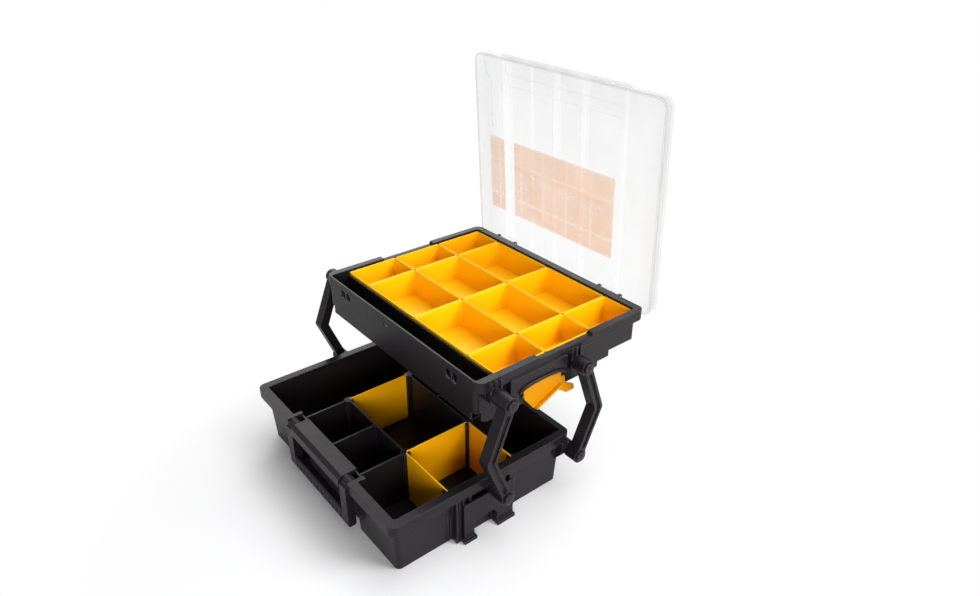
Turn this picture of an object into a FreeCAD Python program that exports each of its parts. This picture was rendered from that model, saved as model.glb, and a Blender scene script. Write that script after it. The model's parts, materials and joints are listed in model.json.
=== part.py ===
import FreeCAD, Part
import math
import os

os.makedirs("parts", exist_ok=True)
Vec = FreeCAD.Vector

# Trays, outside sizes
rim_length = 310.0
rim_depth = 246.0
rim_corner_radius = 9.0
lower_rim_top = 73.0
rim_skirt_height = 12.6
rim_plate = 2.6
rim_skirt_wall = 2.4

# Lower tray
lower_wall = 2.5
lower_floor = 3.0
lower_rim_overhang = 7.5
lower_rim_overhang_back = 5.5
lower_taper = 3.5
lower_corner_radius = 6.0
partition_wall = 2.0
partition_below_rim = 3.0
cell_half_width = 63.0
front_wall_line = 78.0
rear_wall_line = 166.0
post_size = 9.0
divider_thickness = 1.8
divider_clearance = 0.25
divider_slot_depth = 3.0
guide_rib = 2.0
guide_rib_reach = 4.0

# Linkage
arm_length = 120.0
arm_lean = 1.0
lower_pivot_height = 58.0
lower_pivot_front_y = 6.2
pivot_spacing = 113.2
rear_pivot_drop = 6.2
arm_closed_lean = 64.7
upper_pivot_below_rim = 19.1
arm_inner_x = 159.5
front_arm_outer_x = 181.5
rear_arm_outer_x = 175.5
arm_beam_thickness = 14.0
arm_width = 11.6
arm_hub_radius = 9.0
arm_kink_offset = 24.0
arm_kink_share = 0.48
arm_channel_depth = 2.6
arm_channel_width = 5.4
pivot_pin_radius = 4.0
pivot_running_gap = 0.06
open_pivot_gap = 0.25
press_gap = 0.02
side_gap = 0.3
pin_head_radius = 6.6
pin_head_thickness = 2.2
pin_seat_depth = 9.5
boss_radius = 8.2

# Upper tray
upper_wall = 2.2
upper_inside_corner = 3.0
upper_rim_overhang_side = 6.3
upper_rim_overhang_back = 7.2
upper_floor_drop = 40.0
upper_floor = 2.2
front_skirt_drop = 50.0
rear_step_drop = 48.0
rear_step_start = 55.0
rear_step_end = 73.0
closed_rest_gap = 0.6
trough_depth = 25.0
trough_wall = 2.0
trough_wall_below_rim = 6.0
rim_notch_depth = 6.5
rim_notch_start = -40.0
rim_notch_end = 34.0
rim_notch_width = 9.2
rim_notch_ramp = 3.0
catch_hole_x = 108.0
catch_hole_drop = 13.5
catch_hole_width = 8.5
catch_hole_height = 13.0
catch_hole_rib = 3.0
key_slot_x = -17.5
key_slot_drop = 11.0
key_slot_width = 9.0
key_slot_height = 3.0
boss_rib = 2.4
boss_rib_pitch = 6.5

# Lift-out cups
bin_wall = 1.5
bin_floor = 1.5
bin_gap = 0.6
bin_below_rim = 3.2
bin_draft = 1.6
bin_corner_radius = 3.0
bin_column_edge = 100.0
bin_rows = 3

# Cover
lid_half_width = 156.0
lid_reach = 245.5
lid_behind_axis = 12.0
lid_depth = 15.0
lid_plate = 2.0
lid_wall = 2.2
lid_corner_radius = 12.0
lid_edge_round = 4.0
lid_open_angle = 87.0
lid_rest_gap = 0.6
lid_axis_behind_rim = 3.4
lid_axis_drop = 2.4
lid_ridge = 1.6
lid_ridge_height = 1.2
lid_ridge_low = 16.0
lid_panel_top = 209.0
lid_shoulder_line = 223.0
lid_ridge_end = 92.0
lid_line_places = (-117.5, -100.5, -62.0, -22.0, -12.0, 25.0, 35.0)
lid_lip_half_width = 106.0
lid_lip_reach = 4.5
lid_lip_thickness = 2.4
lid_flange = 2.0
knuckle_radius = 2.6
knuckle_length = 30.0
knuckle_gap = 0.4
knuckle_station = 96.0
hinge_ear = 3.0
hinge_ear_drop = 3.0
hinge_pin_radius = 1.2
hinge_running_gap = 0.06
label_left = -149.0
label_right = 80.0
label_low = 30.4
label_high = 135.4
label_thickness = 0.4

# Side latches
latch_axis_x = 152.0
latch_axis_drop = 28.6
latch_pivot_gap = 2.91
latch_front_setback = 70.5
latch_rear_setback = 17.0
latch_barrel_radius = 2.4
latch_plate = 2.2
latch_flare = 11.0
latch_front_depth = 16.0
latch_corner_setback = 59.6
latch_corner_depth = 30.5
latch_slope_setback = 22.0
latch_slope_depth = 17.2
latch_hook_length = 12.0
latch_hook_depth = 31.2
latch_hook_height = 6.2
latch_lip_reach = 6.0
latch_lip_thickness = 1.8
latch_nose_reach = 1.4
latch_nose_height = 1.8
latch_pin_radius = 1.2
latch_lug = 4.5
latch_lug_height = 10.0
latch_wall_gap = 0.4
hood_plate = 2.2
hood_front_setback = 91.0
hood_pillar = 11.5
hood_rear_setback = 11.0
hood_arch = 2.7
hood_pillar_drop = 40.0
bead_reach = 0.9
bead_height = 1.5

# Carry handle
handle_half_width = 69.0
handle_arm = 13.0
handle_front = -126.0
handle_thickness = 10.0
handle_axis_y = -117.0
handle_axis_below_rim = 7.2
handle_hub_radius = 7.0
grip_bottom = 10.0
grip_height = 16.0
grip_ribs = 13
grip_rib_width = 4.0
grip_rib_depth = 1.0
handle_side_gap = 0.5
handle_recess_depth = 17.5
shelf_front = -126.4
shelf_plate = 3.4
shelf_lip_height = 14.0
shelf_lip = 2.4
shelf_cheek = 4.0
shelf_slope_depth = 5.0
shelf_slope_drop = 3.0
handle_lug = 5.0
handle_pin_radius = 2.5

# Side feet of the lower tray
foot_reach = 157.5
foot_start = -34.0
foot_end = 34.0
foot_top = 53.0
foot_arch_start = -20.9
foot_arch_end = 11.5
foot_arch_height = 24.5
foot_arch_shoulder = 17.6
foot_arch_slope = 5.0
foot_pad_reach = 160.5
foot_pad_height = 4.2
foot_pad_overhang = 1.8
foot_plate = 2.5
foot_pocket_floor = 28.0
foot_post = 3.0
foot_rib = 2.4
foot_rib_pitch = 3.8
foot_rib_reach = 153.5

# Derived positions
half_length = rim_length / 2
half_depth = rim_depth / 2
lean = math.radians(arm_lean)
upper_pivot_height = lower_pivot_height + arm_length * math.cos(lean)
upper_rim_top = upper_pivot_height + upper_pivot_below_rim
lower_pivot_rear_y = lower_pivot_front_y + pivot_spacing
upper_pivot_front_y = lower_pivot_front_y + arm_length * math.sin(lean)
upper_pivot_rear_y = upper_pivot_front_y + pivot_spacing
lower_rear_height = lower_pivot_height - rear_pivot_drop
upper_rear_height = upper_pivot_height - rear_pivot_drop
closed_lean = math.radians(arm_closed_lean)
upper_tray_shift = arm_length * (math.sin(lean) + math.sin(closed_lean))
closing_drop = arm_length * (math.cos(lean) - math.cos(closed_lean))
skirt_bottom = lower_rim_top + closed_rest_gap + closing_drop
boss_outer_x = arm_inner_x - side_gap
lower_inside_x = half_length - lower_rim_overhang - lower_wall
lower_inside_front = half_depth - lower_rim_overhang - lower_wall
lower_inside_back = half_depth - lower_rim_overhang_back - lower_wall
upper_wall_x = half_length - upper_rim_overhang_side
upper_inside_x = upper_wall_x - upper_wall
upper_back_y = half_depth - upper_rim_overhang_back
upper_inside_back = upper_back_y - upper_wall
upper_inside_front = -half_depth + upper_wall
upper_floor_bottom = upper_rim_top - upper_floor_drop
upper_floor_top = upper_floor_bottom + upper_floor
lid_axis_y = half_depth + lid_axis_behind_rim
lid_axis_z = upper_rim_top - lid_axis_drop
latch_axis_z = upper_rim_top - latch_axis_drop
latch_hook_end = upper_pivot_rear_y - upper_tray_shift - latch_pivot_gap
latch_hook_start = latch_hook_end - latch_hook_length
latch_slope_end = latch_hook_end - latch_slope_setback
latch_corner = latch_hook_end - latch_corner_setback
latch_front = latch_hook_end - latch_front_setback
latch_rear = latch_hook_end - latch_rear_setback
hood_front = latch_hook_end - hood_front_setback
hood_rear = latch_hook_end - hood_rear_setback
handle_axis_z = lower_rim_top - handle_axis_below_rim
front_line_y = front_wall_line - half_depth
rear_line_y = rear_wall_line - half_depth


def save(shape, name):
    shape.exportStep("parts/" + name + ".step")


def box(x0, x1, y0, y1, z0, z1):
    return Part.makeBox(x1 - x0, y1 - y0, z1 - z0, Vec(x0, y0, z0))


def rod_x(radius, x0, x1, y, z):
    return Part.makeCylinder(radius, x1 - x0, Vec(x0, y, z), Vec(1, 0, 0))


def rod_y(radius, y0, y1, x, z):
    return Part.makeCylinder(radius, y1 - y0, Vec(x, y0, z), Vec(0, 1, 0))


def rounded_outline(x0, x1, y0, y1, radius, z):
    side = math.sqrt(0.5) * radius
    corners = [(x1 - radius, y1 - radius), (x0 + radius, y1 - radius),
               (x0 + radius, y0 + radius), (x1 - radius, y0 + radius)]
    turns = [(1, 0, 0, 1, 1, 1), (0, 1, -1, 0, -1, 1), (-1, 0, 0, -1, -1, -1), (0, -1, 1, 0, 1, -1)]
    edges = []
    last = None
    first = None
    for (cx, cy), (ax, ay, bx, by, mx, my) in zip(corners, turns):
        start = Vec(cx + ax * radius, cy + ay * radius, z)
        middle = Vec(cx + mx * side, cy + my * side, z)
        end = Vec(cx + bx * radius, cy + by * radius, z)
        if last is not None:
            edges.append(Part.makeLine(last, start))
        else:
            first = start
        edges.append(Part.Arc(start, middle, end).toShape())
        last = end
    edges.append(Part.makeLine(last, first))
    return Part.Wire(edges)


def rounded_block(x0, x1, y0, y1, radius, z0, z1):
    face = Part.Face(rounded_outline(x0, x1, y0, y1, radius, z0))
    return face.extrude(Vec(0, 0, z1 - z0))


def tapered_block(x0, x1, y0, y1, radius, z0, z1, inset):
    low = rounded_outline(x0 + inset, x1 - inset, y0 + inset, y1 - inset, radius, z0)
    high = rounded_outline(x0, x1, y0, y1, radius, z1)
    return Part.makeLoft([low, high], True, True)


def plate_yz(points, x0, x1):
    corners = [Vec(x0, y, z) for y, z in points]
    corners.append(corners[0])
    return Part.Face(Part.makePolygon(corners)).extrude(Vec(x1 - x0, 0, 0))


def plate_xz(points, y0, y1):
    corners = [Vec(x, y0, z) for x, z in points]
    corners.append(corners[0])
    return Part.Face(Part.makePolygon(corners)).extrude(Vec(0, y1 - y0, 0))


def other_side(shape):
    return shape.mirror(Vec(0, 0, 0), Vec(1, 0, 0))


def both_sides(shape):
    return [shape, other_side(shape)]


def joined(shapes):
    return shapes[0].multiFuse(shapes[1:]).removeSplitter()


def less(shape, shapes):
    return shape.cut(Part.makeCompound(shapes))


def one_solid(shape):
    solids = sorted(shape.Solids, key=lambda solid: solid.Volume)
    return solids[-1]


# Rim flange shared by both trays: a top plate with a hanging skirt
def rim_flange(top):
    low = top - rim_skirt_height
    outer = rounded_block(-half_length, half_length, -half_depth, half_depth, rim_corner_radius, low, top)
    hollow = rounded_block(-half_length + rim_skirt_wall, half_length - rim_skirt_wall,
                           -half_depth + rim_skirt_wall, half_depth - rim_skirt_wall,
                           rim_corner_radius - rim_skirt_wall, low, top - rim_plate)
    return outer.cut(hollow)


# Lower tray
def lower_tray():
    wall_x = lower_inside_x + lower_wall
    wall_y = lower_inside_front + lower_wall
    wall_back = lower_inside_back + lower_wall
    body = tapered_block(-wall_x, wall_x, -wall_y, wall_back, lower_corner_radius,
                         0, lower_rim_top, lower_taper)
    cavity = tapered_block(-lower_inside_x, lower_inside_x, -lower_inside_front, lower_inside_back,
                           lower_corner_radius - lower_wall, lower_floor, lower_rim_top + 1, lower_taper)
    added = [rim_flange(lower_rim_top)]
    # Side feet with an arch, an open pocket behind the plate and posts up to the rim
    foot = box(wall_x - lower_taper - 1, foot_reach, foot_start, foot_end, 0, foot_top)
    arch = plate_yz([(foot_arch_start, -1), (foot_arch_end, -1), (foot_arch_end, foot_arch_shoulder),
                     (foot_arch_end - foot_arch_slope, foot_arch_height),
                     (foot_arch_start + foot_arch_slope, foot_arch_height),
                     (foot_arch_start, foot_arch_height - foot_arch_slope / 2)], wall_x, foot_reach + 1)
    pocket = box(wall_x + 1.5, foot_reach - foot_plate, foot_start + foot_plate, foot_end - foot_plate,
                 foot_pocket_floor, foot_top + 1)
    foot = less(foot, [arch, pocket])
    added.extend(both_sides(foot))
    for start, end in ((foot_start - foot_pad_overhang, foot_arch_start + foot_pad_overhang),
                       (foot_arch_end - foot_pad_overhang / 2, foot_end + foot_pad_overhang / 2)):
        added.extend(both_sides(box(wall_x - lower_taper, foot_pad_reach, start, end, 0, foot_pad_height)))
    for start in (foot_start, foot_start + 9, foot_end - foot_post, foot_end - foot_post - 9):
        post = box(wall_x - 3, half_length - 0.5, start, start + foot_post,
                   foot_top - 2, lower_rim_top - rim_plate)
        added.extend(both_sides(post))
    for index in (1, 2):
        start = foot_start - foot_rib_pitch * index
        rib = box(wall_x - lower_taper - 1, foot_rib_reach, start, start + foot_rib,
                  0, lower_rim_top - rim_plate)
        added.extend(both_sides(rib))
    # Pivot bosses, the block that ties the rear boss to the rim, and its gussets
    for y, z in ((lower_pivot_front_y, lower_pivot_height), (lower_pivot_rear_y, lower_rear_height)):
        boss = rod_x(boss_radius, wall_x - 8, boss_outer_x, y, z)
        added.extend(both_sides(boss))
    tie = box(wall_x - 8, boss_outer_x - 1, lower_pivot_rear_y - boss_radius, half_depth,
              lower_rear_height, lower_rim_top - rim_skirt_height + 1)
    added.extend(both_sides(tie))
    for y in (lower_pivot_rear_y - boss_radius - 4, lower_pivot_rear_y - boss_radius + 1.5):
        gusset = plate_xz([(wall_x - 14, lower_rear_height - 18), (wall_x - 2, lower_rear_height - 18),
                           (boss_outer_x - 1, lower_rear_height - 3), (boss_outer_x - 1, lower_rim_top - 9),
                           (wall_x - 14, lower_rim_top - 9)], y, y + 2.4)
        added.extend(both_sides(gusset))
    # Catch bead on the rim for the side latches
    bead = plate_xz([(half_length - 1, lower_rim_top - bead_height),
                     (half_length + bead_reach, lower_rim_top - bead_height),
                     (half_length + bead_reach, lower_rim_top - 0.6),
                     (half_length + bead_reach - 0.6, lower_rim_top),
                     (half_length - 1, lower_rim_top)], latch_hook_start + 0.5, latch_hook_end)
    added.extend(both_sides(bead))
    body = joined([body] + added)
    body = less(body, [cavity])
    # Handle recess in the front wall
    recess_half = handle_half_width + handle_side_gap
    recess_back = -half_depth + handle_recess_depth
    recess = box(-recess_half, recess_half, -half_depth - 5, recess_back, -1, lower_rim_top + 1)
    body = less(body, [recess])
    built = [box(-recess_half - lower_wall, recess_half + lower_wall, recess_back,
                 recess_back + lower_wall, 0, lower_rim_top - partition_below_rim)]
    for lug in both_sides(box(recess_half, recess_half + handle_lug, -half_depth, recess_back + lower_wall,
                              handle_axis_z - handle_hub_radius, lower_rim_top)):
        built.append(lug)
    side_wall = box(recess_half, recess_half + lower_wall, -wall_y + lower_taper, recess_back + lower_wall,
                    0, lower_rim_top - partition_below_rim)
    built.extend(both_sides(side_wall))
    shelf_half = handle_half_width - handle_arm - handle_side_gap
    shelf = box(-shelf_half, shelf_half, shelf_front, recess_back + lower_wall,
                lower_rim_top - shelf_plate, lower_rim_top)
    slope = plate_yz([(shelf_front - 1, lower_rim_top - shelf_slope_drop * (1 + 1 / shelf_slope_depth)),
                      (shelf_front + shelf_slope_depth, lower_rim_top),
                      (shelf_front + shelf_slope_depth, lower_rim_top + 1),
                      (shelf_front - 1, lower_rim_top + 1)], -shelf_half - 1, shelf_half + 1)
    built.append(shelf)
    built.append(box(-shelf_half, shelf_half, shelf_front, shelf_front + shelf_lip,
                     lower_rim_top - shelf_lip_height, lower_rim_top))
    for side in both_sides(box(shelf_half - shelf_cheek, shelf_half, shelf_front, recess_back + 1,
                               lower_rim_top - shelf_lip_height, lower_rim_top)):
        built.append(side)
    # Fixed partitions
    wall_top = lower_rim_top - partition_below_rim
    half = partition_wall / 2
    low = lower_floor - 1
    back = lower_inside_back + 1
    for x in (-cell_half_width, 0, cell_half_width):
        built.append(box(x - half, x + half, recess_back + 1, front_line_y, low, wall_top))
        built.append(box(x - half, x + half, rear_line_y, back, low, wall_top))
    for y in (front_line_y, rear_line_y):
        built.append(box(-cell_half_width, cell_half_width, y - half, y + half, low, wall_top))
    post_half = post_size / 2
    for x in (-cell_half_width, cell_half_width):
        for y in (front_line_y, rear_line_y):
            built.append(box(x - post_half, x + post_half, y - post_half, y + post_half, low, wall_top))
    # Guide ribs on the right wall for the cross dividers
    slot_half = divider_thickness / 2 + divider_clearance
    for y in (front_line_y, rear_line_y):
        for y0 in (y - slot_half - guide_rib, y + slot_half):
            built.append(box(lower_inside_x - lower_taper - guide_rib_reach, lower_inside_x + 1,
                             y0, y0 + guide_rib, low, wall_top))
    body = joined([body] + built)
    # Sloped front edge of the shelf, and divider slots in the posts
    slots = [slope]
    for x in (-cell_half_width, cell_half_width):
        for y, turn in ((front_line_y, 1), (rear_line_y, -1)):
            edge = y + turn * post_half
            inner = edge - turn * divider_slot_depth
            slots.append(box(x - slot_half, x + slot_half, min(edge, inner) - 0.01, max(edge, inner) + 0.01,
                             lower_floor, lower_rim_top))
    for y in (front_line_y, rear_line_y):
        edge = cell_half_width + post_half
        slots.append(box(edge - divider_slot_depth, edge + 0.01, y - slot_half, y + slot_half,
                         lower_floor, lower_rim_top))
    # Seats for the pins
    for y, z in ((lower_pivot_front_y, lower_pivot_height), (lower_pivot_rear_y, lower_rear_height)):
        slots.extend(both_sides(rod_x(pivot_pin_radius + press_gap, boss_outer_x - pin_seat_depth,
                                      boss_outer_x + 1, y, z)))
    seat = rod_x(handle_pin_radius + press_gap, shelf_half - shelf_cheek, recess_half + handle_lug - 1.5,
                 handle_axis_y, handle_axis_z)
    slots.extend(both_sides(seat))
    return one_solid(less(body, slots))


# Lift-out divider plates
def divider_along_y(x):
    reach = post_size / 2 - divider_slot_depth + divider_clearance
    return box(x - divider_thickness / 2, x + divider_thickness / 2,
               front_line_y + reach, rear_line_y - reach,
               lower_floor + divider_clearance, lower_rim_top - partition_below_rim)


def divider_along_x(y):
    start = cell_half_width + post_size / 2 - divider_slot_depth + divider_clearance
    low = lower_floor + divider_clearance
    high = lower_rim_top - partition_below_rim
    slope = lower_taper / (lower_rim_top + 1 - lower_floor)
    end_high = lower_inside_x - slope * (lower_rim_top + 1 - high) - divider_clearance * 2
    end_low = lower_inside_x - slope * (lower_rim_top + 1 - low) - divider_clearance * 2
    return plate_xz([(start, low), (end_low, low), (end_high, high), (start, high)],
                    y - divider_thickness / 2, y + divider_thickness / 2)


# Carry handle hanging in its recess
def carry_handle():
    back = handle_front + handle_thickness
    grip = box(-handle_half_width, handle_half_width, handle_front, back,
               grip_bottom, grip_bottom + grip_height)
    corner_edges = [edge for edge in grip.Edges if edge.Length > handle_half_width]
    grip = grip.makeFillet(3.0, corner_edges)
    parts = [grip]
    for side in (-1, 1):
        outer = side * handle_half_width
        inner = side * (handle_half_width - handle_arm)
        x0 = min(outer, inner)
        x1 = max(outer, inner)
        parts.append(box(x0, x1, handle_front, back, grip_bottom + grip_height / 2, handle_axis_z))
        parts.append(rod_x(handle_hub_radius, x0, x1, handle_axis_y, handle_axis_z))
    handle = joined(parts)
    cuts = []
    pitch = 2 * (handle_half_width - handle_arm) / grip_ribs
    for index in range(grip_ribs):
        x = -(handle_half_width - handle_arm) + pitch * (index + 0.5)
        cuts.append(box(x - (pitch - grip_rib_width) / 2, x + (pitch - grip_rib_width) / 2, handle_front - 1,
                        handle_front + grip_rib_depth, grip_bottom + 3.5, grip_bottom + grip_height - 3.5))
    cuts.append(rod_x(handle_pin_radius + hinge_running_gap, -handle_half_width - 1, handle_half_width + 1,
                      handle_axis_y, handle_axis_z))
    return one_solid(less(handle, cuts))


def handle_pins():
    shelf_half = handle_half_width - handle_arm - handle_side_gap
    start = shelf_half - shelf_cheek + 0.3
    end = handle_half_width + handle_side_gap + handle_lug - 1.8
    return Part.makeCompound(both_sides(rod_x(handle_pin_radius, start, end, handle_axis_y, handle_axis_z)))


# Bent arms of the linkage
def beam(start, end, width, x0, x1):
    along = Vec(0, end[0] - start[0], end[1] - start[1])
    along.normalize()
    side = Vec(0, -along.z * width / 2, along.y * width / 2)
    a = Vec(x0, start[0], start[1])
    b = Vec(x0, end[0], end[1])
    outline = Part.makePolygon([a + side, b + side, b - side, a - side, a + side])
    return Part.Face(outline).extrude(Vec(x1 - x0, 0, 0))


def arm(low, high, bow, outer_x, upper_gap):
    middle_y = low[0] + (high[0] - low[0]) * arm_kink_share
    middle_z = low[1] + (high[1] - low[1]) * arm_kink_share
    kink = (middle_y + bow * arm_kink_offset, middle_z)
    beam_x = outer_x - arm_beam_thickness
    shape = joined([beam(low, kink, arm_width, beam_x, outer_x),
                    beam(kink, high, arm_width, beam_x, outer_x),
                    rod_x(arm_width / 2, beam_x, outer_x, kink[0], kink[1]),
                    rod_x(arm_hub_radius, arm_inner_x, outer_x, low[0], low[1]),
                    rod_x(arm_hub_radius, arm_inner_x, outer_x, high[0], high[1])])
    channel_floor = outer_x - arm_channel_depth
    cuts = [rod_x(arm_channel_width / 2, channel_floor, outer_x + 1, kink[0], kink[1])]
    for end in (low, high):
        run = math.hypot(end[0] - kink[0], end[1] - kink[1])
        share = (run - arm_hub_radius - 1.5) / run
        stop = (kink[0] + (end[0] - kink[0]) * share, kink[1] + (end[1] - kink[1]) * share)
        cuts.append(beam(kink, stop, arm_channel_width, channel_floor, outer_x + 1))
    low_bore = rod_x(pivot_pin_radius + pivot_running_gap, arm_inner_x - 1, outer_x + 1, low[0], low[1])
    high_bore = rod_x(pivot_pin_radius + upper_gap, arm_inner_x - 1, outer_x + 1, high[0], high[1])
    return one_solid(less(shape, [joined(cuts), low_bore, high_bore]))


def pivot_pins(y, z, outer_x):
    start = boss_outer_x - pin_seat_depth + 0.3
    head = outer_x + side_gap
    shaft = rod_x(pivot_pin_radius, start, head + 0.5, y, z)
    cap = rod_x(pin_head_radius, head, head + pin_head_thickness, y, z)
    outer = [edge for edge in cap.Edges if edge.CenterOfMass.x > head + pin_head_thickness - 0.1]
    cap = cap.makeFillet(0.9, outer[:1])
    return Part.makeCompound(both_sides(joined([shaft, cap])))


# Upper tray, drawn about its own centre and moved back to the open place
def upper_tray():
    low = upper_floor_bottom
    body = rounded_block(-upper_wall_x, upper_wall_x, -half_depth, upper_back_y,
                         upper_inside_corner + upper_wall, low, upper_rim_top)
    added = [rim_flange(upper_rim_top)]
    # Skirts below the floor
    front = box(-upper_wall_x + 8, upper_wall_x - 8, -half_depth, -half_depth + upper_wall,
                upper_rim_top - front_skirt_drop, low + 1)
    added.append(front)
    step = upper_rim_top - rear_step_drop
    outline = [(-half_depth + 8, low + 1), (-half_depth + 8, skirt_bottom + 4),
               (-half_depth + 14, skirt_bottom), (rear_step_start, skirt_bottom),
               (rear_step_start, step), (rear_step_end, step),
               (rear_step_end, low + 1)]
    added.extend(both_sides(plate_yz(outline, upper_inside_x, upper_wall_x)))
    # Pivot bosses
    pivots = ((upper_pivot_front_y - upper_tray_shift, upper_pivot_height),
              (upper_pivot_rear_y - upper_tray_shift, upper_rear_height))
    for y, z in pivots:
        added.extend(both_sides(rod_x(boss_radius, upper_inside_x + 0.5, boss_outer_x, y, z)))
        for offset in (-boss_rib_pitch, 0, boss_rib_pitch):
            rib_start = y + offset - boss_rib / 2
            rib = box(upper_inside_x + 0.5, boss_outer_x - 2, rib_start, rib_start + boss_rib,
                      z - boss_radius, upper_rim_top - rim_plate)
            added.extend(both_sides(rib))
    # Hood over each side latch, with its lugs
    for piece in latch_hood():
        added.extend(both_sides(piece))
    # Ears of the cover hinge
    for x in hinge_ears():
        tube = rod_x(knuckle_radius, x, x + hinge_ear, lid_axis_y, lid_axis_z)
        web = box(x, x + hinge_ear, half_depth - 1, lid_axis_y, lid_axis_z - knuckle_radius - hinge_ear_drop,
                  upper_rim_top)
        added.extend([tube, web])
    body = joined([body] + added)
    cuts = [rounded_block(-upper_inside_x, upper_inside_x, upper_inside_front, upper_inside_back,
                          upper_inside_corner, upper_floor_top, upper_rim_top + 1)]
    # Lowered stretch of the rim at both sides
    top = upper_rim_top
    notch = plate_yz([(rim_notch_start, top - rim_notch_depth), (rim_notch_end, top - rim_notch_depth),
                      (rim_notch_end + rim_notch_ramp, top + 0.1),
                      (rim_notch_start - rim_notch_ramp, top + 0.1)],
                     half_length - rim_notch_width, half_length + rim_notch_width)
    ledge = box(upper_inside_x + 0.5, half_length - rim_skirt_wall, rim_notch_start - 4,
                rim_notch_end + 4, top - rim_notch_depth - rim_plate, top - rim_plate)
    body = joined([body] + both_sides(ledge))
    cuts.extend(both_sides(notch))
    # Pairs of catch holes and the key slot in the front wall
    pitch = (catch_hole_width + catch_hole_rib) / 2
    for x in (-catch_hole_x, catch_hole_x):
        for middle in (x - pitch, x + pitch):
            cuts.append(front_wall_hole(middle, catch_hole_drop, catch_hole_width, catch_hole_height))
    cuts.append(front_wall_hole(key_slot_x, key_slot_drop, key_slot_width, key_slot_height))
    # Arched opening in the skirt behind each latch
    arch = plate_yz([(latch_front + 4, skirt_bottom - 1), (latch_rear + 6, skirt_bottom - 1),
                     (latch_rear + 6, low - 6), (latch_rear - 2, low - 1.5), (latch_front + 12, low - 1.5),
                     (latch_front + 4, low - 6)], upper_inside_x - 1, upper_wall_x + 1)
    cuts.extend(both_sides(arch))
    # Seats for the pins
    for y, z in pivots:
        cuts.extend(both_sides(rod_x(pivot_pin_radius + press_gap, boss_outer_x - pin_seat_depth,
                                     boss_outer_x + 1, y, z)))
    cuts.extend(both_sides(rod_y(latch_pin_radius + press_gap, latch_front - knuckle_gap - latch_lug - 1,
                                 latch_rear + knuckle_gap + latch_lug + 1, latch_axis_x, latch_axis_z)))
    for x in hinge_ears():
        cuts.append(rod_x(hinge_pin_radius + press_gap, x - 1, x + hinge_ear + 1, lid_axis_y, lid_axis_z))
    body = less(body, cuts)
    trough_y = upper_inside_front + trough_depth
    wall = box(-upper_inside_x - 1, upper_inside_x + 1, trough_y - trough_wall, trough_y,
               upper_floor_top - 1, upper_rim_top - trough_wall_below_rim)
    return one_solid(joined([body, wall]))


# Upright hole with rounded ends through the front wall of the upper tray
def front_wall_hole(middle, drop, width, height):
    radius = min(width, height) / 2 - 0.2
    flat = rounded_block(middle - width / 2, middle + width / 2, -height / 2, height / 2, radius,
                         0, upper_wall + 2)
    flat.rotate(Vec(0, 0, 0), Vec(1, 0, 0), 90)
    flat.translate(Vec(0, upper_inside_front + 1, upper_rim_top - drop))
    return flat


# Hood of the right latch: a front pillar, an arched plate, a top flange and two lugs for the pin
def latch_hood():
    top = upper_rim_top - rim_skirt_height + 1
    inside = latch_axis_x + latch_barrel_radius + latch_wall_gap
    outside = inside + hood_plate
    edge = latch_axis_z + latch_wall_gap
    pillar_end = hood_front + hood_pillar
    pillar_low = upper_rim_top - hood_pillar_drop
    arch = [(hood_front, pillar_low), (pillar_end, pillar_low), (pillar_end, edge - latch_lug),
            (latch_front - latch_lug, edge), ((latch_front + latch_rear) / 2, edge + hood_arch),
            (latch_rear + knuckle_gap, edge), (hood_rear, edge - latch_lug),
            (hood_rear, top), (hood_front, top)]
    pieces = [plate_yz(arch, inside, outside),
              box(upper_inside_x + 0.5, outside, hood_front, pillar_end, pillar_low, top),
              box(upper_inside_x + 0.5, outside, hood_front, hood_rear, top - hood_plate, top)]
    for y in (latch_front - knuckle_gap - latch_lug, latch_rear + knuckle_gap):
        pieces.append(box(upper_inside_x + 0.5, inside + 0.1, y, y + latch_lug,
                          latch_axis_z - latch_lug_height / 2, top))
    return pieces


# Start positions of the tray's hinge ears, one on each side of the two cover knuckles
def hinge_ears():
    inner = knuckle_station - knuckle_length / 2 - knuckle_gap - hinge_ear
    outer = knuckle_station + knuckle_length / 2 + knuckle_gap
    return [inner, outer, -inner - hinge_ear, -outer - hinge_ear]


def lid_hinge_pins():
    reach = knuckle_length / 2 + knuckle_gap + hinge_ear
    pin = rod_x(hinge_pin_radius, knuckle_station - reach, knuckle_station + reach, lid_axis_y, lid_axis_z)
    return Part.makeCompound(both_sides(pin))


# Lift-out cup between two column lines and two row lines
def cup(x0, x1, y0, y1):
    gap = bin_gap / 2
    low = upper_floor_top + 0.3
    high = upper_rim_top - bin_below_rim
    outer = tapered_block(x0 + gap, x1 - gap, y0 + gap, y1 - gap, bin_corner_radius, low, high, bin_draft)
    wall = gap + bin_wall
    inner = tapered_block(x0 + wall, x1 - wall, y0 + wall, y1 - wall, bin_corner_radius - bin_wall / 2,
                          low + bin_floor, high + 0.01, bin_draft)
    return one_solid(outer.cut(inner))


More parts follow.
